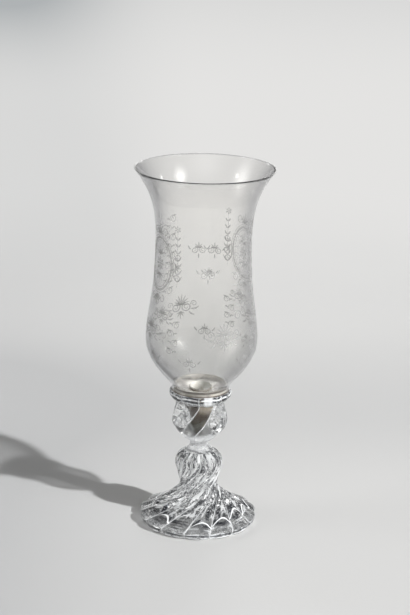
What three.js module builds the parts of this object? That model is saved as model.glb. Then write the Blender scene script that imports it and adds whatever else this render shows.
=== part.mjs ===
// A hurricane candlestick: a twisted crystal foot, wafer and socket, a silver-plated insert that drops into
// the socket, and a blown glass shade that stands round the insert's collar.
// Millimetres, +Z up, with the origin at the middle of the ring that the foot rests on.
// Angles are measured round +Z from the front, which is -Y, towards +X.
import * as THREE from "three";
import { mergeVertices } from "three/addons/utils/BufferGeometryUtils.js";

// Foot, stem and knop, pressed in one piece; each rise is above the level before it
const footRadius = 66.3; // crests of the flutes at the widest level
const footRimHeight = 9; // height of that level
const footUndercut = 3.3; // how far the foot draws in from there to the table
const restingRingWidth = 13;
const footHollow = 12; // rise of the hollow under the foot
const stemRadius = 21.6;
const stemRise = 35; // from the foot's rim up to the stem's waist
const knopRadius = 27;
const knopRise = 26; // from the waist up to the knop's widest level
const knopTopRadius = 17;
const shoulderRise = 14; // from there up to the knop's top
const footFlutes = 14;
const footFluteDepth = 2.4;
const knopFluteDepth = 1.6;
const shoulderFluteDepth = 0.8;
const footTurn = 120; // degrees that the flutes turn from the foot's rim up to the knop
const footFirstValley = -115.7; // direction of one valley at the foot's rim, in degrees

// Wafer, the smooth collar that joins the stem to the socket
const waferHeight = 10;
const neckRadius = 9.8;
const waferStep = 0.3; // how far its foot lies inside the valleys round the knop's top

// Socket, the twisted cup; each rise is above the level before it
const bellyRadius = 31.4;
const bellyHeight = 26; // above the socket's underside
const throatRadius = 27.5;
const throatRise = 21.5;
const rimRise = 11.8; // from the throat up to the rim's widest level
const rimRoll = 3.7; // from there up to the flat top
const rimOverhang = 2.2; // how far the rim swells past the insert's flange
const socketPanels = 10;
const bellyPanelDepth = 2;
const rimPanelDepth = 1.2;
const socketTurn = 62; // degrees that the panels turn from the underside up to the throat
const socketFirstValley = -64; // direction of one valley at the underside, in degrees
const boreFloor = 12; // crystal left under the bore
const seatWidth = 3.4; // flat ring of crystal that carries the insert's flange
const mouthDepth = 9; // depth of the funnel from that ring down to the bore

// Insert: flange ring with its collar, drip dish and candle nozzle
const candleRadius = 11.6; // inside of the nozzle, for a 22 mm candle
const nozzleWall = 0.8;
const nozzleClearance = 0.6; // round the nozzle in the crystal bore
const nozzleFoot = 1; // between the nozzle's end and the floor of the bore
const nozzleLip = 0.7; // radius of the rolled lip, which hangs the nozzle in the dish
const flangeThickness = 1;
const flangeMargin = 0.1; // what the flange reaches outwards past the shade's neck
const collarHeight = 4; // above the flange
const collarWall = 0.9;
const dishWall = 0.7;
const dishDepth = 3.6; // from the top of its rim down to its floor
const dishBead = 0.8; // radius of the dish's rolled rim, which lies on the collar
const seatGap = 0.3; // between the insert's pieces where they are soldered

// Shade; each rise is above the level before it
const glassWall = 2;
const neckInnerRadius = 30.5;
const neckHeight = 5.8;
const neckClearance = 0.7; // between the dish's rolled rim and the neck
const bowlRadius = 62.3;
const bowlRise = 54.3;
const waistRadius = 52.7;
const waistRise = 108.4;
const mouthRadius = 77.4;
const mouthRise = 83.5;

// How finely the surfaces are divided
const roundColumns = 40;
const fluteColumns = 4;
const panelColumns = 6;

// Sizes that follow from the ones above
const restingRingOuter = footRadius - footUndercut;
const restingRingInner = restingRingOuter - restingRingWidth;
const stemHeight = footRimHeight + stemRise;
const knopHeight = stemHeight + knopRise;
const knopTopHeight = knopHeight + shoulderRise;
const socketBase = knopTopHeight + waferHeight;
const throatHeight = bellyHeight + throatRise;
const rimHeight = throatHeight + rimRise;
const socketHeight = rimHeight + rimRoll;
const socketTop = socketBase + socketHeight;
const bowlHeight = neckHeight + bowlRise;
const waistHeight = bowlHeight + waistRise;
const shadeHeight = waistHeight + mouthRise;
const nozzleRadius = candleRadius + nozzleWall;
const boreRadius = nozzleRadius + nozzleClearance;
const neckOuterRadius = neckInnerRadius + glassWall;
const flangeRadius = neckOuterRadius + flangeMargin;
const beadRadius = neckInnerRadius - neckClearance - dishBead; // middle of the dish's rolled rim
const collarOuter = beadRadius + collarWall / 2;
const collarInner = beadRadius - collarWall / 2;
const collarTop = flangeThickness + collarHeight; // above the underside of the flange
const beadMiddle = collarTop + dishBead * Math.SQRT1_2; // the bead is cut flat where it lies on the collar
const dishFloor = beadMiddle + dishBead - dishDepth;

function clearGlass(color, roughness, opacity) {
  return new THREE.MeshStandardMaterial({ color, roughness, metalness: 0, transparent: true, opacity });
}

const crystal = () => clearGlass(0xe4eaee, 0.03, 0.6);
const blownGlass = () => clearGlass(0xe6e8e6, 0.04, 0.3);
const silverPlate = () => new THREE.MeshStandardMaterial({ color: 0xc8c1b4, roughness: 0.2, metalness: 1 });

const mix = THREE.MathUtils.lerp;
const radians = THREE.MathUtils.degToRad;

// Adds a curve to (r, z) that is upright at both ends, with its handles as shares of the climb
function swell(path, r, z, leave, arrive) {
  const from = path.currentPoint.clone();
  path.bezierCurveTo(from.x, mix(from.y, z, leave), r, mix(z, from.y, arrive), r, z);
}

// Unit normals of an outline that climbs on the outside of a body, pointing into the body
function inwardNormals(points) {
  return points.map((point, i) => {
    const before = points[Math.max(i - 1, 0)];
    const after = points[Math.min(i + 1, points.length - 1)];
    const along = after.clone().sub(before).normalize();
    return new THREE.Vector2(-along.y, along.x);
  });
}

// Solid of revolution about Z; the outline holds (radius, height) and runs outwards, up and back in
function turnedGeometry(outline) {
  const geometry = new THREE.LatheGeometry(outline, roundColumns);
  geometry.rotateX(Math.PI / 2);
  return geometry;
}

// A plain stretch of a fluted body's outline, turned with its neighbours so that the faces stay square
function plainStations(points, turn) {
  return points.map((point) => ({ point, depth: 0, turn, inward: new THREE.Vector2(-1, 0) }));
}

// A fluted stretch: depthAt and turnAt give the valleys' depth and direction at each point
function flutedStations(points, depthAt, turnAt) {
  const inward = inwardNormals(points);
  inward[0].set(-1, 0);
  inward[points.length - 1].set(-1, 0);
  return points.map((point, i) => ({ point, depth: depthAt(point), turn: turnAt(point), inward: inward[i] }));
}

// Solid with convex flutes and sharp valleys between them, which turn as they climb
function flutedGeometry(stations, flutes, columnsEach) {
  const columns = flutes * columnsEach;
  const outline = stations.map((station) => station.point);
  const geometry = new THREE.LatheGeometry(outline, columns);
  const place = geometry.getAttribute("position");
  for (let i = 0; i < place.count; i++) {
    const station = stations[i % stations.length];
    const column = Math.floor(i / stations.length);
    const across = 2 * ((column % columnsEach) / columnsEach) - 1; // 0 on a crest, -1 in a valley
    const sink = station.depth * across ** 2;
    const r = station.point.x + sink * station.inward.x;
    const z = station.point.y + sink * station.inward.y;
    const angle = ((column % columns) / columns) * 2 * Math.PI + radians(station.turn);
    place.setXYZ(i, r * Math.sin(angle), -r * Math.cos(angle), z);
  }
  geometry.deleteAttribute("normal");
  geometry.deleteAttribute("uv");
  const merged = mergeVertices(geometry);
  merged.computeVertexNormals();
  return merged;
}

function footStemGeometry() {
  const under = new THREE.Path();
  under.moveTo(0, footHollow);
  under.bezierCurveTo(
    restingRingInner * 0.6, footHollow,
    restingRingInner * 0.94, footHollow * 0.8,
    restingRingInner, 0,
  );

  const side = new THREE.Path();
  side.moveTo(restingRingOuter, 0);
  side.bezierCurveTo(
    mix(restingRingOuter, footRadius, 0.75), footRimHeight * 0.1,
    footRadius, footRimHeight * 0.5,
    footRadius, footRimHeight,
  );

  const flare = new THREE.Path();
  flare.moveTo(footRadius, footRimHeight);
  flare.bezierCurveTo(
    mix(footRadius, stemRadius, 0.58), mix(footRimHeight, stemHeight, 0.37),
    stemRadius, mix(footRimHeight, stemHeight, 0.77),
    stemRadius, stemHeight,
  );

  const knop = new THREE.Path();
  knop.moveTo(stemRadius, stemHeight);
  swell(knop, knopRadius, knopHeight, 0.35, 0.3);

  const shoulder = new THREE.Path();
  shoulder.moveTo(knopRadius, knopHeight);
  shoulder.bezierCurveTo(
    knopRadius, mix(knopHeight, knopTopHeight, 0.5),
    mix(knopRadius, knopTopRadius, 0.4), mix(knopHeight, knopTopHeight, 0.75),
    knopTopRadius, knopTopHeight,
  );

  const outside = [
    ...side.getPoints(4),
    ...flare.getPoints(10).slice(1),
    ...knop.getPoints(6).slice(1),
    ...shoulder.getPoints(5).slice(1),
  ];
  const climb = (z, low, high) => THREE.MathUtils.clamp((z - low) / (high - low), 0, 1);
  const depthAt = (point) =>
    point.y < knopHeight
      ? mix(footFluteDepth, knopFluteDepth, climb(point.y, footRimHeight, knopHeight))
      : mix(knopFluteDepth, shoulderFluteDepth, climb(point.y, knopHeight, knopTopHeight));
  const turnAt = (point) => {
    const share = climb(point.y, footRimHeight, knopHeight);
    return footFirstValley + footTurn * (share - 0.06 * Math.sin(2 * Math.PI * share));
  };
  const stations = [
    ...plainStations(under.getPoints(5), footFirstValley),
    ...flutedStations(outside, depthAt, turnAt),
    ...plainStations([new THREE.Vector2(0, knopTopHeight)], footFirstValley + footTurn),
  ];
  return flutedGeometry(stations, footFlutes, fluteColumns);
}

function waferGeometry() {
  const footWidth = knopTopRadius - shoulderFluteDepth - waferStep;
  const outline = new THREE.Path();
  outline.moveTo(0, knopTopHeight);
  outline.lineTo(footWidth, knopTopHeight);
  outline.bezierCurveTo(
    mix(footWidth, neckRadius, 0.5), mix(knopTopHeight, socketBase, 0.25),
    neckRadius, mix(knopTopHeight, socketBase, 0.6),
    neckRadius, socketBase,
  );
  outline.lineTo(0, socketBase);
  return turnedGeometry(outline.getPoints(6));
}

// The socket is drawn from its own underside up
function socketGeometry() {
  const rimRadius = flangeRadius + rimOverhang;
  const mouthEdge = flangeRadius - seatWidth;
  const outside = new THREE.Path();
  outside.moveTo(neckRadius, 0);
  outside.bezierCurveTo(
    mix(neckRadius, bellyRadius, 0.2), bellyHeight * 0.13,
    bellyRadius, bellyHeight * 0.62,
    bellyRadius, bellyHeight,
  );
  swell(outside, throatRadius, throatHeight, 0.4, 0.3);
  outside.bezierCurveTo(
    throatRadius, mix(throatHeight, rimHeight, 0.45),
    rimRadius, mix(throatHeight, rimHeight, 0.4),
    rimRadius, rimHeight,
  );
  outside.quadraticCurveTo(rimRadius, socketHeight, flangeRadius, socketHeight);

  const inside = new THREE.Path();
  inside.moveTo(mouthEdge, socketHeight);
  inside.bezierCurveTo(
    mix(mouthEdge, boreRadius, 0.1), socketHeight - mouthDepth * 0.4,
    boreRadius, socketHeight - mouthDepth * 0.6,
    boreRadius, socketHeight - mouthDepth,
  );
  inside.lineTo(boreRadius, boreFloor);
  inside.lineTo(0, boreFloor);

  const depthAt = (point) => {
    if (point.y < bellyHeight) return bellyPanelDepth * Math.sqrt(point.y / bellyHeight);
    const share = THREE.MathUtils.smoothstep(point.y, bellyHeight, throatHeight);
    return mix(bellyPanelDepth, rimPanelDepth, share);
  };
  const turnAt = (point) => socketFirstValley + socketTurn * Math.min(point.y / throatHeight, 1);
  const topTurn = socketFirstValley + socketTurn;
  const stations = [
    ...plainStations([new THREE.Vector2(0, 0)], socketFirstValley),
    ...flutedStations(outside.getPoints(5), depthAt, turnAt),
    ...plainStations(inside.getPoints(4), topTurn),
  ];
  return flutedGeometry(stations, socketPanels, panelColumns);
}

// The insert's pieces are drawn from the underside of the flange up
function flangeRingGeometry() {
  const outline = new THREE.Path();
  outline.moveTo(collarInner, 0);
  outline.lineTo(flangeRadius, 0);
  outline.lineTo(flangeRadius, flangeThickness);
  outline.lineTo(collarOuter, flangeThickness);
  outline.lineTo(collarOuter, collarTop);
  outline.lineTo(collarInner, collarTop);
  outline.lineTo(collarInner, 0);
  return turnedGeometry(outline.getPoints());
}

function dripDishGeometry() {
  const holeRadius = nozzleRadius + seatGap;
  const wallRadius = collarInner - seatGap;
  const outline = new THREE.Path();
  outline.moveTo(holeRadius, dishFloor - dishWall);
  outline.bezierCurveTo(
    mix(holeRadius, wallRadius, 0.5), dishFloor - dishWall,
    mix(holeRadius, wallRadius, 0.85), dishFloor - dishWall,
    wallRadius, collarTop,
  );
  outline.lineTo(beadRadius + dishBead * Math.SQRT1_2, collarTop);
  outline.absarc(beadRadius, beadMiddle, dishBead, -Math.PI / 4, Math.PI, false);
  outline.bezierCurveTo(
    mix(holeRadius, wallRadius, 0.85), dishFloor,
    mix(holeRadius, wallRadius, 0.5), dishFloor,
    holeRadius, dishFloor,
  );
  outline.lineTo(holeRadius, dishFloor - dishWall);
  return turnedGeometry(outline.getPoints(4));
}

function candleNozzleGeometry() {
  const end = nozzleFoot + boreFloor - socketHeight;
  const lipMiddle = dishFloor + seatGap + nozzleLip;
  const outline = new THREE.Path();
  outline.moveTo(0, end);
  outline.lineTo(nozzleRadius, end);
  outline.lineTo(nozzleRadius, lipMiddle - nozzleLip);
  outline.absarc(candleRadius + nozzleLip, lipMiddle, nozzleLip, -Math.PI / 3, Math.PI, false);
  outline.lineTo(candleRadius, end + nozzleWall);
  outline.lineTo(0, end + nozzleWall);
  return turnedGeometry(outline.getPoints(3));
}

// The shade is drawn from its own foot up, as an outer outline and the same one a wall's thickness further in
function shadeGeometry() {
  const outer = new THREE.Path();
  outer.moveTo(neckOuterRadius, 0);
  outer.lineTo(neckOuterRadius, neckHeight);
  outer.bezierCurveTo(
    mix(neckOuterRadius, bowlRadius, 0.45), mix(neckHeight, bowlHeight, 0.28),
    bowlRadius, mix(neckHeight, bowlHeight, 0.57),
    bowlRadius, bowlHeight,
  );
  swell(outer, waistRadius, waistHeight, 0.25, 0.5);
  outer.bezierCurveTo(
    waistRadius, mix(waistHeight, shadeHeight, 0.52),
    mix(waistRadius, mouthRadius, 0.31), mix(waistHeight, shadeHeight, 0.72),
    mouthRadius, shadeHeight,
  );
  const outside = outer.getPoints(6);
  const inward = inwardNormals(outside);
  inward[0].set(-1, 0);
  inward[outside.length - 1].set(-1, 0);
  const inside = outside.map((point, i) => point.clone().addScaledVector(inward[i], glassWall)).reverse();
  return turnedGeometry([...outside, ...inside, outside[0].clone()]);
}

function piece(name, geometry, material) {
  const mesh = new THREE.Mesh(geometry, material);
  mesh.name = name;
  return mesh;
}

const candlestick = new THREE.Group();
const socket = piece("socket", socketGeometry(), crystal());
socket.position.z = socketBase;
candlestick.add(
  piece("foot_stem", footStemGeometry(), crystal()),
  piece("wafer", waferGeometry(), crystal()),
  socket,
);

const insert = new THREE.Group();
insert.position.z = socketTop;
insert.add(
  piece("flange_ring", flangeRingGeometry(), silverPlate()),
  piece("drip_dish", dripDishGeometry(), silverPlate()),
  piece("candle_nozzle", candleNozzleGeometry(), silverPlate()),
);

const shade = piece("shade", shadeGeometry(), blownGlass());
shade.position.z = flangeThickness;
insert.add(shade);
candlestick.add(insert);

const candleholder = new THREE.Group();
candleholder.add(candlestick);

export default candleholder;
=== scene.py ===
import math
from types import SimpleNamespace

import bmesh
import bpy
from mathutils import Matrix, Vector


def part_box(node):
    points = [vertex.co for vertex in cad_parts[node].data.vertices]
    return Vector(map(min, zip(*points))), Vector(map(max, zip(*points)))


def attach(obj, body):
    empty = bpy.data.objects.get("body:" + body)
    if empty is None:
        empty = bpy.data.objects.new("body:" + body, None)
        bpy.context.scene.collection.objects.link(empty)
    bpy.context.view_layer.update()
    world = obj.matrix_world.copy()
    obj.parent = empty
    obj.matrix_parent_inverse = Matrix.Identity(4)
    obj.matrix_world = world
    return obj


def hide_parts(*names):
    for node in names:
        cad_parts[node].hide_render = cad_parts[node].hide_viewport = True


# A twisted crystal candlestick with a silver-plated insert and a tall etched glass shade.
# Lengths are in metres and angles in degrees; round the axis they count from the front, -Y, towards +X.
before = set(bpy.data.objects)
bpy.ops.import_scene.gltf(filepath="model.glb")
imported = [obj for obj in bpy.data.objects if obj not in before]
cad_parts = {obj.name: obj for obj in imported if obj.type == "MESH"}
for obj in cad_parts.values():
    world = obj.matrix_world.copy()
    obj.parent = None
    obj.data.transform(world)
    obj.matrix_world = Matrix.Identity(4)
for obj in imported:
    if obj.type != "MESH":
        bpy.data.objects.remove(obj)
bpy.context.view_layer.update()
print("frame loaded:", ", ".join(sorted(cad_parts)))


# Levels and widths that come from the frame
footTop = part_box("foot_stem")[1].z
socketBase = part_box("socket")[0].z
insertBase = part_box("flange_ring")[0].z
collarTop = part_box("flange_ring")[1].z
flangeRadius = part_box("flange_ring")[1].x
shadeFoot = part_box("shade")[0].z
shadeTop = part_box("shade")[1].z
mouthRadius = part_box("shade")[1].x
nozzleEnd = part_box("candle_nozzle")[0].z


# Shader maths

class Wire:
    # One value, colour or vector in a material; sums and products of values add their Math nodes
    def __init__(self, tree, socket):
        self.tree = tree
        self.socket = socket

    def node(self, kind, settings=None, values=None, result=0):
        made = self.tree.nodes.new(kind)
        for name, value in (settings or {}).items():
            setattr(made, name, value)
        for name, value in (values or {}).items():
            if isinstance(value, Wire):
                self.tree.links.new(value.socket, made.inputs[name])
            else:
                made.inputs[name].default_value = value
        return Wire(self.tree, made.outputs[result])

    def maths(self, operation, first, second=0.0):
        return self.node("ShaderNodeMath", {"operation": operation}, {0: first, 1: second})

    def __add__(self, other):
        return self.maths("ADD", self, other)

    def __radd__(self, other):
        return self.maths("ADD", other, self)

    def __sub__(self, other):
        return self.maths("SUBTRACT", self, other)

    def __rsub__(self, other):
        return self.maths("SUBTRACT", other, self)

    def __mul__(self, other):
        return self.maths("MULTIPLY", self, other)

    def __rmul__(self, other):
        return self.maths("MULTIPLY", other, self)

    def __truediv__(self, other):
        return self.maths("DIVIDE", self, other)

    def __pow__(self, other):
        return self.maths("POWER", self, other)

    def size(self):
        return self.maths("ABSOLUTE", self)

    def strongest(self, *others):
        found = self
        for other in others:
            found = self.maths("MAXIMUM", found, other)
        return found

    def noise(self, scale, detail=2.0, roughness=0.5):
        values = {"Vector": self, "Scale": scale, "Detail": detail, "Roughness": roughness}
        return self.node("ShaderNodeTexNoise", {}, values)

    def stretched(self, x, y, z):
        return self.node("ShaderNodeMapping", {}, {"Vector": self, "Scale": (x, y, z)})

    def step(self, low, high):
        # 0 up to low, 1 from high on, smooth between them
        values = {"Value": self, "From Min": low, "From Max": high}
        return self.node("ShaderNodeMapRange", {"interpolation_type": "SMOOTHSTEP"}, values)

    def band(self, start, full, fade, end):
        # 1 from full to fade, 0 before start and after end
        return self.step(start, full) * (1 - self.step(fade, end))

    def spread(self, low, high):
        # takes a noise of 0 to 1 to the given range
        return self.node("ShaderNodeMapRange", {}, {"Value": self, "To Min": low, "To Max": high})

    def blend(self, first, second):
        # a colour between two, with this value as the share of the second
        return self.node("ShaderNodeMix", {"data_type": "RGBA"}, {0: self, 6: first, 7: second}, 2)

    def axis(self, name):
        parts = self.node("ShaderNodeSeparateXYZ", {}, {"Vector": self})
        return Wire(self.tree, parts.socket.node.outputs[name])

    def measure(self, operation, other=(0, 0, 0)):
        # a number from a vector: its length, or its distance from or product with another
        return self.node("ShaderNodeVectorMath", {"operation": operation}, {0: self, 1: other}, "Value")

    def bump(self, distance):
        return self.node("ShaderNodeBump", {}, {"Height": self, "Distance": distance, "Strength": 1.0})

    def edges(self, blend):
        # 0 where a surface faces the ray, 1 where it turns away
        return self.node("ShaderNodeLayerWeight", {}, {"Blend": blend}, "Facing")

    def principled(self, values):
        return self.node("ShaderNodeBsdfPrincipled", {}, values)

    def mixShader(self, first, second):
        return self.node("ShaderNodeMixShader", {}, {0: self, 1: first, 2: second})


def startFinish(name):
    # a new material with nothing in it but its Object coordinates
    material = bpy.data.materials.new(name)
    material.use_nodes = True
    tree = material.node_tree
    tree.nodes.clear()
    place = Wire(tree, tree.nodes.new("ShaderNodeTexCoord").outputs["Object"])
    return material, place


def showFinish(material, surface):
    tree = material.node_tree
    output = tree.nodes.new("ShaderNodeOutputMaterial")
    tree.links.new(surface.socket, output.inputs["Surface"])
    return material


def colour(r, g, b):
    return (r, g, b, 1)


# Glass lets a part of the sunlight through in its shadow, and more of it where the light meets it head on
def withSoftShadow(surface, openShare):
    shadowRay = surface.node("ShaderNodeLightPath", {}, {}, "Is Shadow Ray")
    share = shadowRay * openShare * (1 - surface.edges(0.35))
    return share.mixShader(surface, surface.node("ShaderNodeBsdfTransparent"))


# Painted dark reflections and painted highlights in the crystal. A pair says where one sets in or stops,
# or where a ring lies; four numbers say where a mark starts, is full, fades and ends.
crystalSizes = {
    "panelEnd": (0.014, 0.02), "footEnd": (0.018, 0.04), "socketRise": 0.01, "scuffEnd": (0.0002, 0.0012),
    "darkRings": ((0.0040, 0.0060), (insertBase - 0.0060, insertBase - 0.0036),
                  (insertBase - 0.0018, insertBase - 0.0002)),
    "paleRings": ((0.0012, 0.0028), (insertBase - 0.0034, insertBase - 0.0018)),
    "ringEdge": 0.0004, "ringBow": 0.0015, "archBow": 0.006, "archSway": 0.014,
    "rib": (0.0178, 0.0182, 0.0187, 0.0191), "brow": (0.0190, 0.0194, 0.0215, 0.0225),
    "panelRise": (0.008, 0.012), "bars": (0.0105, 0.011, 0.0165, 0.017), "barsTurn": 1800,
    "eyes": (0.0635, 0.065, 0.0715, 0.073), "eyesAside": (0.3, 0.42, 0.7, 0.82),
    "cupSide": (0.009, 0.014), "sunnySide": (-0.012, 0.008), "glareAside": (0.003, 0.006, 0.012, 0.016),
    "glareRise": (insertBase - 0.012, insertBase - 0.009), "glareBack": (-0.01, 0.0),
    "neck": (footTop - 0.001, footTop + 0.004, socketBase + 0.01, socketBase + 0.02),
}


def crystalPattern(place, s):
    # what the marks share; "flute" holds the place across a flute, the way along it and its number
    flute = place.node("ShaderNodeAttribute", {"attribute_name": "flute"}, {}, "Vector")
    across = flute.axis("X")
    height = place.axis("Z")
    each = flute.stretched(0, 9, 5.3).noise(1, 1)
    high = height.step(socketBase, socketBase + s["socketRise"])
    return SimpleNamespace(
        height=height, high=high, each=each,
        low=1 - height.step(*s["footEnd"]),
        climb=height.step(*s["panelEnd"]),
        sideways=place.axis("X"),
        along=flute.axis("Y"),
        aside=across.size(),
        bowed=height + across * across * s["ringBow"],
        arch=height + across * across * s["archBow"] + (each - 0.5) * s["archSway"],
        cup=high * place.axis("X").size().step(*s["cupSide"]),
        streaks=flute.stretched(1.4, 70, 3.7).noise(1, 2, 0.6),
        bits=place.noise(330, 2, 0.6),
        patchy=place.noise(45, 2).step(0.35, 0.5),
    )


def ring(p, start, end, edge):
    return p.bowed.band(start, start + edge, end, end + edge)


def paintedDarkReflections(place, p, s):
    # painted dark reflections of the room: streaks along the flutes, small bits between them, dark shapes
    # in the foot's panels and the knop, and dark rings
    streaks = p.streaks.step(0.54, 0.59) * (p.climb * 0.7 + 0.15 - p.high * 0.75)
    bits = (1 - p.bits.step(0.36, 0.42)) * ((p.climb * 0.35 + 0.1) * (1 - p.high) + p.cup * 0.5)
    panel = p.each.step(0.5, 0.56) * (1 - p.climb) * (1 - p.aside.step(0.7, 0.85))
    panel = panel * p.height.step(*s["panelRise"]) * 0.6
    brow = p.arch.band(*s["brow"]) * place.noise(90, 2).step(0.42, 0.5)
    wave = p.along * s["barsTurn"]
    bars = wave.maths("SINE", wave).step(0.1, 0.6) * p.height.band(*s["bars"])
    bars = bars * (1 - p.each.step(0.46, 0.5)) * (1 - p.aside.step(0.6, 0.7)) * 0.85
    eyes = p.aside.band(*s["eyesAside"]) * p.height.band(*s["eyes"]) * p.each.step(0.45, 0.55)
    rings = [ring(p, *ends, s["ringEdge"]) * p.patchy.spread(0.75, 1.0) for ends in s["darkRings"]]
    return streaks.strongest(bits, panel, brow, bars, eyes, *rings)


def paintedHighlights(place, p, s):
    # painted highlights: thin lines in the fire-polished valleys, streaks, bits, arches on the foot,
    # glare below the rim, and rings that are brighter on the sunny side
    valley = place.node("ShaderNodeAttribute", {"attribute_name": "valley"}, {}, "Fac")
    lines = valley * place.noise(140, 2).spread(0.25, 1.0) * (p.low * 0.45 + 0.55)
    streaks = (1 - p.streaks.step(0.42, 0.47)) * (p.climb * 0.4 + 0.1 - p.high * 0.5)
    bits = p.bits.step(0.56, 0.62) * ((p.climb * 0.25 + 0.1) * (1 - p.high) + p.cup * 0.5)
    rib = p.arch.band(*s["rib"]) * place.noise(32, 1).step(0.4, 0.52)
    broken = place.noise(110, 2).step(0.36, 0.5) * p.sideways.step(*s["sunnySide"]).spread(0.35, 0.95)
    rings = [ring(p, *ends, s["ringEdge"]) * broken for ends in s["paleRings"]]
    glare = p.sideways.band(*s["glareAside"]) * p.height.step(*s["glareRise"])
    glare = glare * (1 - place.axis("Y").step(*s["glareBack"])) * place.noise(200, 2).spread(0.3, 1.1)
    neck = p.height.band(*s["neck"]) * (p.patchy.spread(0.12, 0.3) + p.high * 0.25)
    return lines.strongest(streaks, bits, rib, glare, neck, *rings)


def leadCrystalFinish(s):
    material, place = startFinish("leadCrystal")
    p = crystalPattern(place, s)
    dark = paintedDarkReflections(place, p, s)
    # painted shade: the glass is coloured darker where its surface turns away from the view, and at the
    # painted dark reflections
    edge = place.edges(0.5).step(0.5, 0.95)
    clear = place.noise(30).blend(colour(0.965, 0.975, 0.98), colour(0.985, 0.99, 0.985))
    scuffs = place.noise(900, 3) * (1 - p.height.step(*s["scuffEnd"]))
    glass = place.principled({
        "Base Color": edge.strongest(dark).blend(clear, colour(0.045, 0.05, 0.06)),
        "Roughness": scuffs * 0.5 + 0.004,
        "IOR": 1.545,
        "Transmission Weight": 1.0,
        "Coat Weight": 0.4,
        "Coat Roughness": 0.15,
        "Normal": place.noise(60, 1.0).bump(0.00014),
    })
    # the darkest painted dark reflections hide what is behind them, so that they stay near black
    deep = place.principled({
        "Base Color": colour(0.02, 0.022, 0.03),
        "Roughness": 0.3,
        "Specular IOR Level": 0.1,
    })
    # the painted highlights glow a little, as painted light for the sunlight that the crystal gathers
    pale = place.principled({
        "Base Color": colour(0.8, 0.81, 0.82),
        "Roughness": 0.25,
        "IOR": 1.3,
        "Transmission Weight": 0.15,
        "Emission Color": colour(0.93, 0.95, 0.96),
        "Emission Strength": 0.33,
    })
    marked = paintedHighlights(place, p, s).mixShader((dark * 0.4).mixShader(glass, deep), pale)
    return showFinish(material, withSoftShadow(marked, p.low * 0.72 + p.high * 0.4 + 0.15))


def fusedJointFinish():
    # where two pieces of crystal are fused, nothing shows between them
    material, place = startFinish("fusedJoint")
    return showFinish(material, place.principled({"Alpha": 0.0}))


def shadeGlassFinish():
    material, place = startFinish("blownGlass")
    height = place.axis("Z")
    # drawn upwards, greyer in patches low on the bowl, with painted shade at its edges and a painted dark
    # line at the mouth's rim
    drawn = place.stretched(1, 1, 0.22).noise(70, 1.5)
    film = place.noise(45, 3)
    low = 1 - height.step(0.19, 0.31)
    edge = place.edges(0.5).step(0.15, 0.75)
    clear = film.blend(colour(0.98, 0.975, 0.96), colour(1.0, 0.995, 0.985))
    clouds = place.noise(28, 2).step(0.35, 0.65)
    greyedLow = (low * clouds.spread(0.55, 1.0)).blend(clear, colour(0.86, 0.86, 0.85))
    dark = edge.strongest(height.step(shadeTop - 0.0012, shadeTop - 0.0003))
    surface = place.principled({
        "Base Color": dark.blend(greyedLow, colour(0.56, 0.56, 0.575)),
        "Roughness": film.spread(0.0, 0.02),
        "IOR": 1.5,
        "Specular IOR Level": 0.36,
        "Transmission Weight": 1.0,
        "Coat Weight": 0.3,
        "Coat Roughness": 0.13,
        "Normal": drawn.bump(0.00006),
    })
    return showFinish(material, withSoftShadow(surface, 0.86))


def etchedFinish():
    material, place = startFinish("etchedFrost")
    grain = place.noise(1400, 3)
    cloud = place.noise(120, 2)
    surface = place.principled({
        "Base Color": cloud.blend(colour(0.42, 0.42, 0.415), colour(0.56, 0.56, 0.55)),
        "Roughness": 0.75,
        "Alpha": grain.spread(0.12, 0.42),
        "Normal": grain.bump(0.0001),
    })
    return showFinish(material, surface)


def silverPlateFinish(collar, bore):
    # polished, with a brown painted shadow round the collar's outside under the dish's bead, brown at the
    # flange's edge, and satin in the nozzle
    material, place = startFinish("silverPlate")
    height = place.axis("Z")
    outward = place.stretched(1, 1, 0).measure("LENGTH")
    clouds = place.noise(60, 4, 0.6)
    # painted shadow: brown on the collar's outside, just under the dish's bead
    creviceShadow = outward.band(collar - 0.0003, collar - 0.0001, collar + 0.0004, collar + 0.0009)
    creviceShadow = creviceShadow * height.band(collarTop - 0.0024, collarTop - 0.0018, collarTop, collarTop + 0.0003)
    joint = (outward + clouds * 0.002).step(flangeRadius - 0.0006, flangeRadius - 0.0001)
    tarnishAndShadow = (clouds.step(0.5, 0.8) * 0.3).strongest(creviceShadow, joint)
    plate = tarnishAndShadow.blend(colour(0.97, 0.94, 0.88), colour(0.09, 0.065, 0.045))
    inside = 1 - outward.step(bore + 0.0001, bore + 0.0004)
    satin = place.noise(80, 1).step(0.4, 0.6).blend(colour(0.6, 0.58, 0.52), colour(0.88, 0.9, 0.88))
    # a painted pool of light glows on the back of the nozzle's mouth and on the dish next to it, for the
    # sunlight that the bowl of the shade gathers; the rest of the plate glows faintly as painted light
    fromLightPool = place.measure("DISTANCE", (-0.008, 0.007, collarTop))
    paintedLightPool = 1 - (fromLightPool + clouds * 0.006).step(0.006, 0.016)
    hairlines = place.stretched(1, 1, 14).noise(260, 2)
    surface = place.principled({
        "Base Color": inside.blend(plate, satin),
        "Metallic": 0.6 - place.noise(75, 2).step(0.35, 0.55) * 0.45,
        "Roughness": clouds.spread(0.12, 0.26) + inside * 0.4,
        "Emission Color": paintedLightPool.blend(colour(0.09, 0.085, 0.075), colour(0.98, 0.96, 0.9)),
        "Emission Strength": 1.0,
        "Normal": (hairlines * 0.1 + place.noise(70, 1)).bump(0.0005),
    })
    return showFinish(material, surface)


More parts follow.
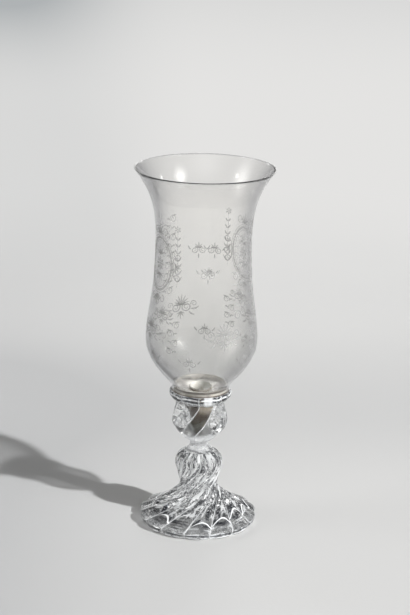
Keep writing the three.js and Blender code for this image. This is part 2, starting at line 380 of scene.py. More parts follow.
def tarnishAndLightFinish():
    # old tarnished plate: dark brown on the left and olive at the nozzle's end, with painted light: beige
    # on the right, the side the sun comes from, and pale below a slope on either side of it
    material, place = startFinish("tarnishAndPaintedLight")
    clouds = place.noise(90, 4, 0.6)
    rise = place.axis("Z") - nozzleEnd
    paintedSunSide = (place.axis("X") + clouds * 0.006).step(0.0, 0.006) * rise.step(0.02, 0.03)
    brown = paintedSunSide.blend(colour(0.11, 0.08, 0.055), colour(0.62, 0.53, 0.42))
    olive = (1 - rise.step(0.006, 0.022)).blend(brown, colour(0.12, 0.12, 0.085))
    paintedPaleSides = 1 - (rise - (place.axis("X") + 0.001).size() * 1.7 + clouds * 0.006).step(0.0, 0.008)
    surface = place.principled({
        "Base Color": paintedPaleSides.blend(olive, colour(0.84, 0.85, 0.84)),
        "Metallic": 0.85 - paintedPaleSides * 0.65,
        "Roughness": clouds.spread(0.22, 0.42),
        "Normal": clouds.bump(0.00004),
    })
    return showFinish(material, surface)


# Modelling by hand

def clearSelection():
    if bpy.context.mode != "OBJECT":
        bpy.ops.object.mode_set(mode="OBJECT")
    bpy.ops.object.select_all(action="DESELECT")


def bezier(start, first, second, end, steps):
    # the points of a curve after its start
    points = []
    for i in range(1, steps + 1):
        t = i / steps
        shares = ((1 - t) ** 3, 3 * (1 - t) ** 2 * t, 3 * (1 - t) * t ** 2, t ** 3)
        corners = (start, first, second, end)
        points.append(tuple(sum(s * c[k] for s, c in zip(shares, corners)) for k in range(2)))
    return points


def mix(low, high, share):
    return low + (high - low) * share


def shareOf(value, low, high):
    return min(max((value - low) / (high - low), 0), 1)


def smoothShare(value, low, high):
    t = shareOf(value, low, high)
    return t * t * (3 - 2 * t)


def bend(start, end, first, second, steps):
    # a curve with each handle given as its shares of the way across and up, from the start to the end
    low = (mix(start[0], end[0], first[0]), mix(start[1], end[1], first[1]))
    high = (mix(start[0], end[0], second[0]), mix(start[1], end[1], second[1]))
    return bezier(start, low, high, end, steps)


def arc(middle, radius, startAngle, endAngle, steps):
    # points on a round bead seen in section; 0 points outwards and 90 up
    angles = [math.radians(mix(startAngle, endAngle, i / steps)) for i in range(steps + 1)]
    return [(middle[0] + radius * math.cos(a), middle[1] + radius * math.sin(a)) for a in angles]


def spinOutline(outline, steps=144):
    # draws the section point by point from a single vertex, then spins it round the axis
    clearSelection()
    bpy.ops.mesh.primitive_plane_add(size=0.001, enter_editmode=True)
    bpy.ops.mesh.select_mode(type="VERT")
    bpy.ops.mesh.merge(type="CENTER")
    bpy.ops.transform.translate(value=(outline[0][0], 0, outline[0][1]))
    for old, new in zip(outline, outline[1:]):
        step = (new[0] - old[0], 0, new[1] - old[1])
        bpy.ops.mesh.extrude_vertices_move(TRANSFORM_OT_translate={"value": step})
    bpy.ops.mesh.select_all(action="SELECT")
    bpy.ops.mesh.spin(steps=steps, angle=2 * math.pi, center=(0, 0, 0), axis=(0, 0, 1))
    bpy.ops.mesh.select_all(action="SELECT")
    bpy.ops.mesh.remove_doubles(threshold=0.000002)
    bpy.ops.mesh.normals_make_consistent(inside=False)
    clearSelection()


def moveRing(old, new):
    # extrudes the selected ring from one (radius, height) to the next
    bpy.ops.mesh.extrude_edges_move(TRANSFORM_OT_translate={"value": (0, 0, new[1] - old[1])})
    share = new[0] / old[0]
    bpy.ops.transform.resize(value=(share, share, 1), center_override=(0, 0, new[1]))


def turnRing(angle, height):
    # with no window the operator turns the other way, so the angle goes in with its sign changed
    bpy.ops.transform.rotate(value=-math.radians(angle), orient_axis="Z", center_override=(0, 0, height))


def roundRing(radius):
    # brings the selected ring back to a true circle
    mesh = bpy.context.object.data
    for vertex in bmesh.from_edit_mesh(mesh).verts:
        if vertex.select:
            share = radius / math.hypot(vertex.co.x, vertex.co.y)
            vertex.co.x *= share
            vertex.co.y *= share
    bmesh.update_edit_mesh(mesh)


def selectOpenRing(height):
    bpy.ops.mesh.select_mode(type="EDGE")
    bpy.ops.mesh.select_all(action="DESELECT")
    mesh = bpy.context.object.data
    shape = bmesh.from_edit_mesh(mesh)
    for edge in shape.edges:
        level = all(abs(vertex.co.z - height) < 0.00001 for vertex in edge.verts)
        edge.select_set(edge.is_boundary and level)
    bmesh.update_edit_mesh(mesh)


def closeInside(points):
    # extrudes the selected ring through the points, shuts it at the axis and turns all faces outwards
    for old, new in zip(points, points[1:]):
        moveRing(old, new)
    bpy.ops.mesh.extrude_edges_move(TRANSFORM_OT_translate={"value": (0, 0, 0)})
    bpy.ops.mesh.merge(type="CENTER")
    bpy.ops.mesh.select_all(action="SELECT")
    bpy.ops.mesh.normals_make_consistent(inside=False)


def raiseTwistedWall(outline, turns, columns):
    # a ring extruded up the outline, with each level turned to its own direction
    clearSelection()
    bpy.ops.mesh.primitive_circle_add(vertices=columns, radius=outline[0][0], enter_editmode=True)
    bpy.ops.transform.translate(value=(0, 0, outline[0][1]))
    turnRing(turns[0] - 180, outline[0][1])  # the circle's first point is at the back
    for i in range(1, len(outline)):
        moveRing(outline[i - 1], outline[i])
        turnRing(turns[i] - turns[i - 1], outline[i][1])


def inwardDirections(outline):
    # square to the outline and towards the axis; level at its two ends
    directions = []
    for i in range(len(outline)):
        before = Vector(outline[max(i - 1, 0)])
        after = Vector(outline[min(i + 1, len(outline) - 1)])
        along = (after - before).normalized()
        directions.append((-along.y, along.x))
    directions[0] = directions[-1] = (-1, 0)
    return directions


def fluteSection(across, flank, crown):
    # how deep a point lies: a low crown over most of the flute, then a steep flank to a rounded valley
    return crown * across ** 2 + (1 - crown) * smoothShare(abs(across), 1 - flank, 1)


def pressFlutes(outline, turns, depths, crowns, flutes, flank):
    # draws the columns together at the valleys and sinks them between the crests, square to the outline
    gather = 1.6
    mesh = bpy.context.object.data
    inward = inwardDirections(outline)
    heights = [z for r, z in outline]
    pitch = 360 / flutes
    shape = bmesh.from_edit_mesh(mesh)
    valley = shape.verts.layers.float.new("valley")
    flute = shape.verts.layers.float_vector.new("flute")
    along = [0]
    for low, high in zip(outline, outline[1:]):
        along.append(along[-1] + math.dist(low, high))
    for vertex in shape.verts:
        i = min(range(len(heights)), key=lambda k: abs(heights[k] - vertex.co.z))
        radius = math.hypot(vertex.co.x, vertex.co.y)
        angle = math.degrees(math.atan2(vertex.co.x, -vertex.co.y))
        even = 2 * (((angle - turns[i]) / pitch) % 1) - 1
        across = math.copysign(1 - (1 - abs(even)) ** gather, even)
        direction = math.radians(angle + (across - even) * pitch / 2)
        sink = depths[i] * fluteSection(across, flank, crowns[i])
        fromEnds = min(i, len(outline) - 1 - i)
        vertex[valley] = smoothShare(abs(across), 0.9, 0.98) * smoothShare(fromEnds, 0, 5)
        vertex[flute] = (across, along[i], math.floor((angle - turns[i]) / pitch) % flutes)
        radius += sink * inward[i][0]
        vertex.co.x = radius * math.sin(direction)
        vertex.co.y = -radius * math.cos(direction)
        vertex.co.z += sink * inward[i][1]
    bmesh.update_edit_mesh(mesh)


def roundEdges(width, segments):
    piece = bpy.context.object
    bpy.ops.object.modifier_add(type="BEVEL")
    bevel = piece.modifiers[-1]
    bevel.width = width
    bevel.segments = segments
    bevel.limit_method = "ANGLE"
    bevel.angle_limit = math.radians(40)
    bpy.ops.object.modifier_apply(modifier=bevel.name)


def addFinish(piece, finish, chosen):
    # a second finish on the faces that are chosen
    if finish.name not in piece.data.materials:
        piece.data.materials.append(finish)
    index = piece.data.materials.find(finish.name)
    for face in piece.data.polygons:
        if chosen(face):
            face.material_index = index


def looksDown(face):
    return face.normal.z < -0.5


def looksInwards(face):
    return face.center.x * face.normal.x + face.center.y * face.normal.y < -0.0001 or face.normal.z > 0.5


def hideJoint(piece, level, radius):
    # the faces on which the piece is fused to its neighbour take the joint's finish
    def fused(face):
        flat = abs(face.normal.z) > 0.99 and abs(face.center.z - level) < 0.00001
        return flat and math.hypot(face.center.x, face.center.y) < radius
    addFinish(piece, jointFinish, fused)


def finishPiece(name, finish, body, node=None, smooth=35):
    clearSelection()
    piece = bpy.context.object
    piece.name = name
    piece.data.name = name
    piece.select_set(True)
    bpy.ops.object.shade_smooth_by_angle(angle=math.radians(smooth))
    piece.data.materials.clear()
    piece.data.materials.append(finish)
    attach(piece, body)
    if node:
        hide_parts(node)
    clearSelection()
    print(f"{name}: {len(piece.data.polygons)} faces")
    return piece


crystalFinish = leadCrystalFinish(crystalSizes)
jointFinish = fusedJointFinish()
glassFinish = shadeGlassFinish()
frostFinish = etchedFinish()
tarnishAndLightPlate = tarnishAndLightFinish()
print("finishes made")


# Foot, stem and knop: one pressing with flutes that turn like a right-hand thread

footSizes = {
    "flutes": 14, "columnsEach": 24, "flank": 0.15, "footCrown": 0.6, "knopCrown": 0.9,
    "rimRadius": 0.0663, "rimHeight": 0.009, "ringOuter": 0.063, "ringInner": 0.050,
    "stemRadius": 0.0216, "stemHeight": 0.044,
    "knopRadius": 0.027, "knopHeight": 0.070, "topRadius": 0.017,
    "footDepth": 0.0028, "knopDepth": 0.0034, "topDepth": 0.0018,
    "turn": 120, "firstValley": -115.7,
    "hollow": 0.0145, "ringEase": 0.0012,
}


def footOutline(s):
    ring = (s["ringOuter"], 0)
    rim = (s["rimRadius"], s["rimHeight"])
    stem = (s["stemRadius"], s["stemHeight"])
    knop = (s["knopRadius"], s["knopHeight"])
    top = (s["topRadius"], footTop)
    outline = [ring] + bend(ring, rim, (0.75, 0.1), (1, 0.5), 8)
    outline += bend(rim, stem, (0.58, 0.37), (1, 0.77), 40)
    outline += bend(stem, knop, (0, 0.35), (1, 0.7), 24)
    return outline + bend(knop, top, (0, 0.5), (0.4, 0.75), 16)


def makeFoot(s):
    outline = footOutline(s)
    turns = []
    depths = []
    crowns = []
    for radius, height in outline:
        share = shareOf(height, s["rimHeight"], s["knopHeight"])
        turns.append(s["firstValley"] + s["turn"] * (share - 0.1 * math.sin(2 * math.pi * share)))
        above = shareOf(height, s["knopHeight"], footTop)
        depths.append(mix(mix(s["footDepth"], s["knopDepth"], share), s["topDepth"], above))
        crowns.append(mix(s["footCrown"], s["knopCrown"], share))
    raiseTwistedWall(outline, turns, s["flutes"] * s["columnsEach"])
    pressFlutes(outline, turns, depths, crowns, s["flutes"], s["flank"])
    selectOpenRing(footTop)
    moveRing(outline[-1], (waferSizes["footRadius"], footTop))
    roundRing(waferSizes["footRadius"])
    bpy.ops.mesh.edge_face_add()

    # the flat ring it stands on, then the hollow up to its middle
    selectOpenRing(0)
    inner = s["ringInner"]
    moveRing(outline[0], (inner + s["ringEase"], 0))
    roundRing(inner + s["ringEase"])
    hollow = [(inner + s["ringEase"], 0), (inner + s["ringEase"] * 0.3, s["ringEase"] * 0.25)]
    hollow += [(inner - s["ringEase"] * 0.1, s["ringEase"])]
    handles = ((inner * 0.82, s["hollow"] * 0.5), (inner * 0.5, s["hollow"]))
    hollow += bezier(hollow[-1], *handles, (inner * 0.03, s["hollow"]), 24)
    closeInside(hollow)
    piece = finishPiece("twistedFoot", crystalFinish, "candlestick", "foot_stem", 50)
    hideJoint(piece, footTop, waferSizes["footRadius"])


# Wafer: the smooth collar that is fused to the knop and to the socket

waferSizes = {"neckRadius": 0.0098, "footRadius": 0.0159}


def makeWafer(s):
    low = (s["footRadius"], footTop)
    high = (s["neckRadius"], socketBase)
    spinOutline([(0, low[1]), low] + bend(low, high, (0.5, 0.25), (1, 0.6), 16) + [(0, high[1])], 280)
    piece = finishPiece("crystalWafer", crystalFinish, "candlestick", "wafer")
    hideJoint(piece, footTop, s["footRadius"])
    hideJoint(piece, socketBase, s["neckRadius"])


# Socket: a cup with ten twisted panels, a rolled rim and a bore for the nozzle

socketSizes = {
    "panels": 10, "columnsEach": 28, "flank": 0.1, "crown": 0.5,
    "footRadius": 0.0098, "bellyRadius": 0.0314, "bellyHeight": 0.026,
    "throatRadius": 0.0275, "throatHeight": 0.0475, "rimHeight": 0.0593, "rimOverhang": 0.0022,
    "bellyDepth": 0.002, "rimDepth": 0.0012, "turn": 62, "firstValley": -64,
    "boreRadius": 0.013, "boreFloor": 0.012, "seatWidth": 0.0034, "mouthDepth": 0.009,
}


def socketOutline(s):
    # drawn from the socket's own underside
    foot = (s["footRadius"], 0)
    belly = (s["bellyRadius"], s["bellyHeight"])
    throat = (s["throatRadius"], s["throatHeight"])
    rim = (flangeRadius + s["rimOverhang"], s["rimHeight"])
    lip = (flangeRadius, insertBase - socketBase)
    outline = [foot] + bend(foot, belly, (0.2, 0.13), (1, 0.62), 30)
    outline += bend(belly, throat, (0, 0.4), (1, 0.7), 24)
    outline += bend(throat, rim, (0, 0.45), (1, 0.4), 20)
    return outline + bend(rim, lip, (0, 2 / 3), (1 / 3, 1), 10)


def makeSocket(s):
    drawn = socketOutline(s)
    turns = []
    depths = []
    for radius, height in drawn:
        climb = min(height / s["throatHeight"], 1)
        turns.append(s["firstValley"] + s["turn"] * climb)
        if height < s["bellyHeight"]:
            depths.append(s["bellyDepth"] * math.sqrt(height / s["bellyHeight"]))
        else:
            share = smoothShare(height, s["bellyHeight"], s["throatHeight"])
            depths.append(mix(s["bellyDepth"], s["rimDepth"], share))
    outline = [(radius, socketBase + height) for radius, height in drawn]
    raiseTwistedWall(outline, turns, s["panels"] * s["columnsEach"])
    pressFlutes(outline, turns, depths, [s["crown"]] * len(outline), s["panels"], s["flank"])
    selectOpenRing(socketBase)
    bpy.ops.mesh.edge_face_add()

    # the seat for the flange, the funnel, the bore and its floor
    mouth = (flangeRadius - s["seatWidth"], insertBase)
    bore = (s["boreRadius"], insertBase - s["mouthDepth"])
    floor = socketBase + s["boreFloor"]
    selectOpenRing(insertBase)
    moveRing(outline[-1], mouth)
    roundRing(mouth[0])
    inside = [mouth] + bend(mouth, bore, (0.1, 0.4), (1, 0.6), 14)
    inside += [(bore[0], mix(bore[1], floor, i / 8)) for i in range(1, 9)]
    inside += [(bore[0] * share, floor) for share in (0.8, 0.4, 0.1)]
    closeInside(inside)
    piece = finishPiece("twistedSocket", crystalFinish, "candlestick", "socket", 50)
    hideJoint(piece, socketBase, s["footRadius"])


# Insert: the flange ring with its collar, the drip dish and the candle nozzle, all thin silver plate

insertSizes = {
    "flangeThickness": 0.001, "collarInner": 0.02855, "collarOuter": 0.02945,
    "dishWall": 0.0007, "dishDepth": 0.0036, "beadRadius": 0.029, "bead": 0.0008,
    "candleRadius": 0.0116, "nozzleWall": 0.0008, "lip": 0.0007, "gap": 0.0003, "edge": 0.00025,
}
plateFinish = silverPlateFinish(insertSizes["collarOuter"], insertSizes["candleRadius"])


def makeFlangeRing(s):
    outer = flangeRadius
    top = insertBase + s["flangeThickness"]
    outline = [
        (s["collarInner"], insertBase), (outer, insertBase), (outer, top),
        (s["collarOuter"], top), (s["collarOuter"], collarTop),
        (s["collarInner"], collarTop), (s["collarInner"], insertBase),
    ]
    spinOutline(outline)
    bpy.context.object.select_set(True)
    roundEdges(s["edge"], 3)
    piece = finishPiece("flangeRing", plateFinish, "insert", "flange_ring")
    addFinish(piece, tarnishAndLightPlate, looksDown)


def makeDripDish(s):
    hole = s["candleRadius"] + s["nozzleWall"] + s["gap"]
    wall = s["collarInner"] - s["gap"]
    beadMiddle = collarTop + s["bead"] * math.sqrt(0.5)
    floor = beadMiddle + s["bead"] - s["dishDepth"]
    under = floor - s["dishWall"]
    outline = [(hole, under)]
    outline += bend(outline[0], (wall, collarTop), (0.5, 0), (0.85, 0), 20)
    outline += [(s["beadRadius"] + s["bead"] * math.sqrt(0.5), collarTop)]
    outline += arc((s["beadRadius"], beadMiddle), s["bead"], -45, 180, 20)
    handles = ((mix(hole, wall, 0.85), floor), (mix(hole, wall, 0.5), floor))
    outline += bezier(outline[-1], *handles, (hole, floor), 20)
    outline += [outline[0]]
    spinOutline(outline)
    piece = finishPiece("dripDish", plateFinish, "insert", "drip_dish")
    addFinish(piece, tarnishAndLightPlate, looksDown)


def makeCandleNozzle(s):
    outer = s["candleRadius"] + s["nozzleWall"]
    beadMiddle = collarTop + s["bead"] * math.sqrt(0.5)
    lipMiddle = beadMiddle + s["bead"] - s["dishDepth"] + s["gap"] + s["lip"]
    outline = [(0, nozzleEnd)]
    outline += arc((outer - s["lip"], nozzleEnd + s["lip"]), s["lip"], -90, 0, 5)
    outline += [(outer, mix(nozzleEnd, lipMiddle - s["lip"], i / 6)) for i in range(1, 7)]
    outline += arc((s["candleRadius"] + s["lip"], lipMiddle), s["lip"], -60, 180, 14)
    outline += [(s["candleRadius"], nozzleEnd + s["nozzleWall"]), (0, nozzleEnd + s["nozzleWall"])]
    spinOutline(outline, 96)
    piece = finishPiece("candleNozzle", plateFinish, "insert", "candle_nozzle")
    hidden = lipMiddle - s["lip"] - s["gap"]
    addFinish(piece, tarnishAndLightPlate, lambda face: face.center.z < hidden and not looksInwards(face))


# Shade: one blown wall, bowl-shaped below and flared at the mouth

shadeSizes = {
    "wall": 0.002, "lipWall": 0.0015, "neckRadius": 0.0325, "neckRise": 0.0058,
    "bowlRadius": 0.0623, "bowlRise": 0.0543, "waistRadius": 0.0527, "waistRise": 0.1084, "lip": 0.0007,
}


def shadeOutline(s):
    # the outer side from the neck's foot to the mouth
    neck = (s["neckRadius"], shadeFoot + s["neckRise"])
    bowl = (s["bowlRadius"], neck[1] + s["bowlRise"])
    waist = (s["waistRadius"], bowl[1] + s["waistRise"])
    mouth = (mouthRadius, shadeTop)
    outline = [(s["neckRadius"], shadeFoot), (s["neckRadius"], mix(shadeFoot, neck[1], 0.5)), neck]
    outline += bend(neck, bowl, (0.45, 0.28), (1, 0.57), 24)
    outline += bend(bowl, waist, (0, 0.25), (1, 0.5), 28)
    return outline + bend(waist, mouth, (0, 0.52), (0.31, 0.72), 28)


def makeShade(s):
    outer = shadeOutline(s)
    inward = inwardDirections(outer)
    inner = []
    for (radius, height), (inwards, upwards) in zip(outer, inward):
        wall = mix(s["wall"], s["lipWall"], smoothShare(height, shadeFoot, shadeTop))
        inner.append((radius + wall * inwards, height + wall * upwards))
    spinOutline(outer + inner[::-1] + [outer[0]])
    bpy.context.object.select_set(True)
    roundEdges(s["lip"], 5)
    finishPiece("blownShade", glassFinish, "shade", "shade")


makeFoot(footSizes)
makeWafer(waferSizes)
makeSocket(socketSizes)
makeFlangeRing(insertSizes)
makeDripDish(insertSizes)
makeCandleNozzle(insertSizes)
makeShade(shadeSizes)


# Etched scrollwork on the shade: frosted lines just proud of the outer wall.
# A stroke is a list of (across, up, half width) about its motif's middle.

etchSizes = {"lift": 0.00003, "thickness": 0.00005, "fine": 0.00035, "line": 0.0006, "band": 0.0012}


def scroll(middle, radius, start, turns, width, handed):
    # a volute that curls in from its outer end
    steps = int(16 * turns)
    stroke = []
    for i in range(steps + 1):
        t = i / steps
        angle = math.radians(start) + handed * 2 * math.pi * turns * t
        reach = radius * (1 - 0.82 * t)
        point = (middle[0] + reach * math.cos(angle), middle[1] + reach * math.sin(angle))
        stroke.append((*point, width * (1 - 0.5 * t)))
    return [stroke]


def leaf(root, angle, length, width, curl=0.0):
    # a pointed leaf that bends by curl degrees
    steps = 8
    x, y = root
    stroke = [(x, y, width * 0.15)]
    for i in range(1, steps + 1):
        t = i / steps
        direction = math.radians(angle + curl * t)
        x += length / steps * math.cos(direction)
        y += length / steps * math.sin(direction)
        half = width * math.sin(math.pi * (0.1 + 0.9 * t)) ** 0.8 if i < steps else 0.00002
        stroke.append((x, y, half))
    return [stroke]


def oval(wide, tall, width):
    steps = 51
    angles = [2 * math.pi * i / steps for i in range(steps + 1)]
    return [[(wide * math.cos(angle), tall * math.sin(angle), width) for angle in angles]]


def curve(start, first, second, end, width, taper=0.4):
    points = [start] + bezier(start, first, second, end, 14)
    last = len(points) - 1
    return [[(x, y, width * mix(1, taper, abs(2 * i / last - 1))) for i, (x, y) in enumerate(points)]]


def bead(middle, radius):
    # a round dot, as a stroke that is narrow at its ends
    x, y = middle
    ends = ((-1, 0.3), (-0.5, 0.87), (0.5, 0.87), (1, 0.3))
    return [[(x + radius * way, y, radius * half) for way, half in ends]]


def rosette(middle, radius, petals, width):
    strokes = bead(middle, radius * 0.22)
    for i in range(petals):
        angle = 360 * i / petals + 90
        direction = math.radians(angle)
        hub = radius * 0.3
        root = (middle[0] + hub * math.cos(direction), middle[1] + hub * math.sin(direction))
        strokes += leaf(root, angle, radius - hub, width)
    return strokes


def palmette(root, angle, length, leaves, width, spread):
    # a fan of leaves, longest in the middle
    strokes = []
    for i in range(leaves):
        turn = mix(-spread / 2, spread / 2, i / (leaves - 1))
        reach = length * (1 - 0.35 * abs(turn) / (spread / 2))
        strokes += leaf(root, angle + turn, reach, width, turn * 0.35)
    return strokes


def mirrored(strokes):
    return strokes + [[(-x, y, w) for x, y, w in stroke] for stroke in strokes]


def medallion(s):
    # an upright oval frame round a rosette with sprays, a palmette on top and a drop below
    strokes = oval(0.0225, 0.032, s["fine"])
    strokes += oval(0.0195, 0.029, s["band"])
    strokes += oval(0.0165, 0.026, s["fine"])
    for i in range(30):
        angle = math.radians(12 * i)
        strokes += bead((0.021 * math.cos(angle), 0.0305 * math.sin(angle)), 0.0004)
    strokes += rosette((0, 0), 0.008, 8, 0.0012)
    for way in (1, -1):
        strokes += palmette((0, 0.010 * way), 90 * way, 0.013, 5, 0.0010, 110)
        strokes += mirrored(scroll((0.0075, 0.0125 * way), 0.0035, 180, 1.3, s["fine"], way))
    strokes += palmette((0, 0.0335), 90, 0.012, 7, 0.0010, 150)
    strokes += mirrored(scroll((0.0095, 0.0375), 0.0045, -100, 1.4, s["line"], 1))
    strokes += palmette((0, -0.0335), -90, 0.013, 5, 0.0010, 90)
    strokes += mirrored(scroll((0.0085, -0.0375), 0.0042, 100, 1.4, s["line"], -1))
    side = scroll((0.0275, 0.012), 0.0045, 200, 1.4, s["line"], 1)
    side += scroll((0.0275, -0.012), 0.0045, 160, 1.4, s["line"], -1)
    side += curve((0.0232, 0.0105), (0.0205, 0.004), (0.0205, -0.004), (0.0232, -0.0105), s["line"])
    side += palmette((0.0245, 0), 0, 0.008, 5, 0.0008, 130)
    return strokes + mirrored(side)


def lattice(s):
    # a pointed frame filled with a trellis, with a bouquet on top and scrolls below
    wide, tall = 0.0125, 0.019
    corner = (wide * 0.35, tall * 0.55)
    strokes = mirrored(curve((0, tall), corner, (wide, tall * 0.5), (wide, 0), s["line"], 0.9))
    strokes += mirrored([[(x, -y, half) for x, y, half in reversed(strokes[0])]])
    across = [wide * share for share in (-1, -0.5, 0, 0.5, 1)]
    for k in range(-4, 5):
        for way in (1, -1):
            line = [(x, k * 0.0045 + way * x * 1.1, s["fine"] * 0.7) for x in across]
            strokes += [[p for p in line if abs(p[1]) < tall * (1 - abs(p[0]) / wide * 0.55) * 0.9]]
    strokes += rosette((0, 0.0255), 0.0062, 6, 0.0013)
    strokes += mirrored(rosette((0.0095, 0.0215), 0.0042, 5, 0.0010))
    strokes += palmette((0, 0.0315), 90, 0.012, 5, 0.0010, 100)
    strokes += mirrored(leaf((0.006, 0.0265), 50, 0.010, 0.0011, 30))
    strokes += mirrored(leaf((0.012, 0.020), 10, 0.009, 0.0011, -40))
    strokes += mirrored(scroll((0.0185, 0.006), 0.0062, 210, 1.6, s["line"], 1))
    strokes += mirrored(scroll((0.017, -0.010), 0.0050, 150, 1.5, s["line"], -1))
    strokes += mirrored(scroll((0.0075, -0.024), 0.0056, 110, 1.6, s["line"], -1))
    strokes += palmette((0, -0.021), -90, 0.016, 5, 0.0011, 70)
    strokes += rosette((0, -0.042), 0.0045, 6, 0.0009)
    return strokes


def scrollPair(s, size):
    # two scrolls back to back under a fan of leaves, with a bud below
    strokes = mirrored(scroll((0.55 * size, 0), 0.5 * size, 100, 1.6, s["line"], 1))
    strokes += palmette((0, 0.3 * size), 90, 0.9 * size, 5, 0.08 * size, 140)
    strokes += mirrored(leaf((1.05 * size, 0.1 * size), 25, 0.8 * size, 0.09 * size, 50))
    return strokes + leaf((0, -0.5 * size), -90, 0.7 * size, 0.09 * size)


def climber(s, tall, size):
    # scrolls that take turns left and right as they climb, each with two leaves
    strokes = []
    count = round(tall / size / 1.8)
    for i in range(count):
        way = 1 if i % 2 else -1
        y = mix(-tall / 2, tall / 2, i / (count - 1))
        strokes += scroll((way * size * 0.7, y), size, 90 + way * 110, 1.6, s["line"], -way)
        shoot = (way * size * 0.4, y + size * 0.4)
        strokes += leaf(shoot, 90 - way * 45, size * 1.5, size * 0.2, -way * 40)
        strokes += leaf((-way * size * 0.2, y), 90 + way * 50, size * 1.3, size * 0.2, way * 50)
    return strokes


def spray(s, size):
    # two broad volutes with a fan of leaves between them and more leaves at their sides
    strokes = mirrored(scroll((0.55 * size, 0), 0.5 * size, 110, 1.7, s["band"] * 0.8, 1))
    strokes += mirrored(scroll((1.25 * size, 0.3 * size), 0.32 * size, 200, 1.4, s["line"], -1))
    strokes += palmette((0, 0.2 * size), 90, 1.15 * size, 9, 0.075 * size, 150)
    strokes += mirrored(leaf((0.95 * size, -0.2 * size), -15, 0.9 * size, 0.09 * size, 60))
    strokes += mirrored(leaf((0.8 * size, -0.45 * size), -60, 0.7 * size, 0.08 * size, 50))
    return strokes + palmette((0, -0.4 * size), -90, 0.8 * size, 5, 0.07 * size, 100)


def branch(s):
    # an upright stem with pairs of leaves that get smaller as it climbs
    strokes = curve((0, -0.03), (0.002, -0.01), (-0.002, 0.01), (0, 0.03), s["fine"])
    for i in range(7):
        y = mix(-0.024, 0.022, i / 6)
        strokes += mirrored(leaf((0, y), 35, mix(0.009, 0.005, i / 6), 0.0009, 30))
    return strokes + rosette((0, 0.034), 0.0042, 6, 0.0009)


motifs = [
    # (strokes, height above the table, directions round the shade)
    (medallion(etchSizes), 0.309, (-61, 119)),
    (lattice(etchSizes), 0.318, (74, 254)),
    (climber(etchSizes, 0.085, 0.0052), 0.300, (46, 226)),
    (branch(etchSizes), 0.318, (-31, 149)),
    (scrollPair(etchSizes, 0.0085), 0.304, (6, 166, 186)),
    (scrollPair(etchSizes, 0.0065), 0.276, (172,)),
    (spray(etchSizes, 0.0125), 0.235, (24, 114, 204, 294)),
    (spray(etchSizes, 0.0095), 0.254, (-48, 72, 132, 252)),
    (climber(etchSizes, 0.030, 0.0045), 0.232, (-31, 64, 149, 244)),
    (scrollPair(etchSizes, 0.008), 0.205, (-12, 50, 87, 122, 177, 231, 267, 302)),
]


def radiusAt(outline, height):
    for (lowRadius, low), (highRadius, high) in zip(outline, outline[1:]):
        if low <= height <= high:
            return mix(lowRadius, highRadius, (height - low) / (high - low))
    return outline[-1][0]


def drawStroke(shape, stroke, angle, height, outline, lift):
    # a ribbon of quads along the stroke, wrapped round the shade's outer wall
    middleRadius = radiusAt(outline, height)
    edges = []
    for i, (x, y, half) in enumerate(stroke):
        before = stroke[max(i - 1, 0)]
        after = stroke[min(i + 1, len(stroke) - 1)]
        along = Vector((after[0] - before[0], after[1] - before[1])).normalized()
        pair = []
        for way in (1, -1):
            u = x - way * half * along.y
            z = height + y + way * half * along.x
            direction = math.radians(angle) + u / middleRadius
            radius = radiusAt(outline, z) + lift
            pair.append(shape.verts.new((radius * math.sin(direction), -radius * math.cos(direction), z)))
        edges.append(pair)
    for (a, b), (c, d) in zip(edges, edges[1:]):
        shape.faces.new((a, b, d, c))


def makeEtching(s):
    outline = shadeOutline(shadeSizes)
    shape = bmesh.new()
    for strokes, height, angles in motifs:
        drawn = [stroke for stroke in strokes if len(stroke) > 1]
        for angle in angles:
            for stroke in drawn:
                drawStroke(shape, stroke, angle, height, outline, s["lift"])
    mesh = bpy.data.meshes.new("etchedScrollwork")
    shape.to_mesh(mesh)
    shape.free()
    piece = bpy.data.objects.new("etchedScrollwork", mesh)
    bpy.context.collection.objects.link(piece)
    clearSelection()
    bpy.context.view_layer.objects.active = piece
    piece.select_set(True)
    bpy.ops.object.modifier_add(type="SOLIDIFY")
    thicken = piece.modifiers[-1]
    thicken.thickness = s["thickness"]
    thicken.offset = 1
    bpy.ops.object.modifier_apply(modifier=thicken.name)
    finishPiece("etchedScrollwork", frostFinish, "shade")


makeEtching(etchSizes)


# Floor, world, sun and camera

stageSizes = {
    "radius": 20, "gap": 0.0002, "tableEnd": (0.8, 1.7),
    "leftEdge": (-0.38, 0.1), "leftEnd": (0.25, 0.7), "fold": (0.05, 0.38, 0.38, 0.8),
    "frontEnd": (0.8, 1.9), "deep": (2.6, 6.5), "asideEdge": (-0.16, 0),
}


def floorFinish(s):
    # a pale table with painted shade on the left and along a soft fold, that fades into a backdrop with
    # painted shade to the left and far behind
    material, place = startFinish("paleTable")
    x = place.axis("X")
    y = place.axis("Y")
    distance = place.measure("LENGTH")
    left = (1 - x.step(*s["leftEdge"])) * (1.25 - y.step(*s["leftEnd"]) * 0.8)
    shade = left + y.band(*s["fold"]) * 0.45 + place.noise(3.5, 3) * 0.15
    table = place.principled({
        "Base Color": shade.blend(colour(0.715, 0.715, 0.71), colour(0.54, 0.545, 0.55)),
        "Roughness": 0.75,
        "Specular IOR Level": 0.2,
        "Normal": place.noise(240, 3).bump(0.0001),
    })
    # painted shade: the backdrop is darker to the left and far behind
    aside = 1 - (x / distance).step(*s["asideEdge"])
    deep = y.step(*s["deep"])
    dim = aside * 0.25 + deep * 0.3 + deep * aside * aside * 1.1 + (1 - y.step(*s["frontEnd"])) * 0.02
    backdrop = place.node("ShaderNodeEmission", {}, {
        "Color": dim.blend(colour(0.775, 0.77, 0.76), colour(0.43, 0.45, 0.46)),
        "Strength": 1.0,
    })
    rays = place.node("ShaderNodeLightPath").socket.node.outputs
    names = ("Is Camera Ray", "Is Glossy Ray", "Is Transmission Ray")
    camera, glossy, through = [Wire(place.tree, rays[name]) for name in names]
    shown = distance.step(*s["tableEnd"]) * camera.strongest(glossy, through)
    return showFinish(material, shown.mixShader(table, backdrop))


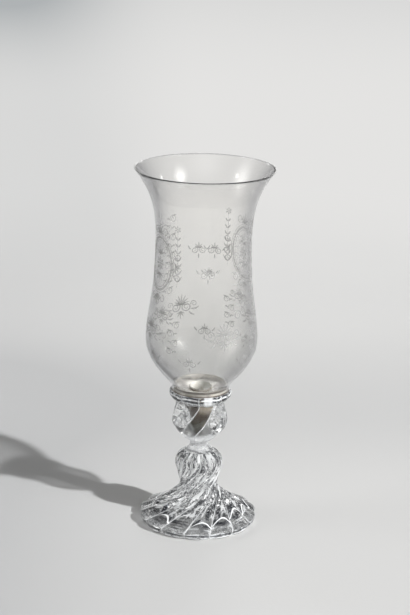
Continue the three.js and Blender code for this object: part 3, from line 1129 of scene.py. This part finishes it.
def makeFloor(s):
    clearSelection()
    radius = s["radius"]
    bpy.ops.mesh.primitive_circle_add(vertices=96, radius=radius, fill_type="NGON", enter_editmode=True)
    bpy.ops.transform.translate(value=(0, 0, -s["gap"]))
    bpy.ops.mesh.inset(thickness=radius * 0.5)
    clearSelection()
    floor = bpy.context.object
    floor.name = "floor"
    floor.data.materials.append(floorFinish(s))


# The room is dark but for a pale band low down behind, soft windows and small sparks of light
sunSizes = {"way": (0.70, -0.47, 0.537), "distance": 2, "width": 2.2, "strength": 3.85}
roomSizes = {"bandTop": (0.02, 0.14), "bandSide": (0.75, 0.95), "band": 0.72, "ceiling": 0.04}
glows = {
    # name: (direction, where it ends as an angle from it, level in its middle)
    "round the sun": (sunSizes["way"], 20, 4.5),
    "over the front": ((0.0, -0.55, 0.83), 50, 0.8),
    "overhead": ((-0.25, 0.15, 0.95), 45, 0.5),
    "window behind": ((0.10, 0.93, 0.33), 24, 4.0),
    "window on the left": ((-0.90, -0.10, 0.42), 30, 3.0),
    "spark on the left": ((-0.80, -0.25, 0.54), 5, 6),
    "spark behind, left": ((-0.55, 0.72, 0.42), 8, 3.5),
    "spark behind, right": ((0.50, 0.76, 0.41), 8, 3.5),
    "spark on the right": ((0.90, 0.20, 0.38), 5, 4),
}


def makeWorld(s):
    world = bpy.data.worlds.new("studio")
    bpy.context.scene.world = world
    world.use_nodes = True
    tree = world.node_tree
    tree.nodes.clear()
    direction = Wire(tree, tree.nodes.new("ShaderNodeTexCoord").outputs["Generated"])
    band = (1 - direction.axis("Z").step(*s["bandTop"])) * direction.axis("Y").step(*s["bandSide"])
    level = band * (s["band"] - s["ceiling"]) + s["ceiling"]
    for way, widest, strength in glows.values():
        cosine = direction.measure("DOT_PRODUCT", Vector(way).normalized())
        ends = {"Value": cosine, "From Min": math.cos(math.radians(widest)), "From Max": 1.0}
        level = level + direction.node("ShaderNodeMapRange", {}, ends) ** 4 * strength
    values = {"Color": colour(1, 0.995, 0.98), "Strength": level}
    light = direction.node("ShaderNodeBackground", {}, values)
    output = tree.nodes.new("ShaderNodeOutputWorld")
    tree.links.new(light.socket, output.inputs["Surface"])


def addSun(s):
    clearSelection()
    way = Vector(s["way"]).normalized()
    bpy.ops.object.light_add(type="SUN", location=way * s["distance"])
    sun = bpy.context.object
    sun.name = "sun"
    sun.rotation_euler = way.to_track_quat("Z", "Y").to_euler()
    sun.data.energy = s["strength"]
    sun.data.angle = math.radians(s["width"])
    sun.visible_glossy = False  # the glow round the sun shines in the glass instead


cameraSizes = {"place": (0.0031, -1.8011, 0.8025), "pitch": 16.994, "roll": 1.321, "lens": 99.51}


def addCamera(s):
    clearSelection()
    bpy.ops.object.camera_add()
    camera = bpy.context.object
    camera.data.lens = s["lens"]
    camera.data.sensor_width = 36
    tilt = Matrix.Rotation(math.radians(90 - s["pitch"]), 4, "X")
    roll = Matrix.Rotation(math.radians(s["roll"]), 4, "Z")
    camera.matrix_world = Matrix.Translation(s["place"]) @ tilt @ roll
    bpy.context.scene.camera = camera


makeFloor(stageSizes)
makeWorld(roomSizes)
addSun(sunSizes)
addCamera(cameraSizes)
bpy.context.scene.view_settings.view_transform = "Standard"
bpy.context.scene.cycles.caustics_refractive = False
print("stage, lamps and camera placed")

bpy.context.view_layer.update()
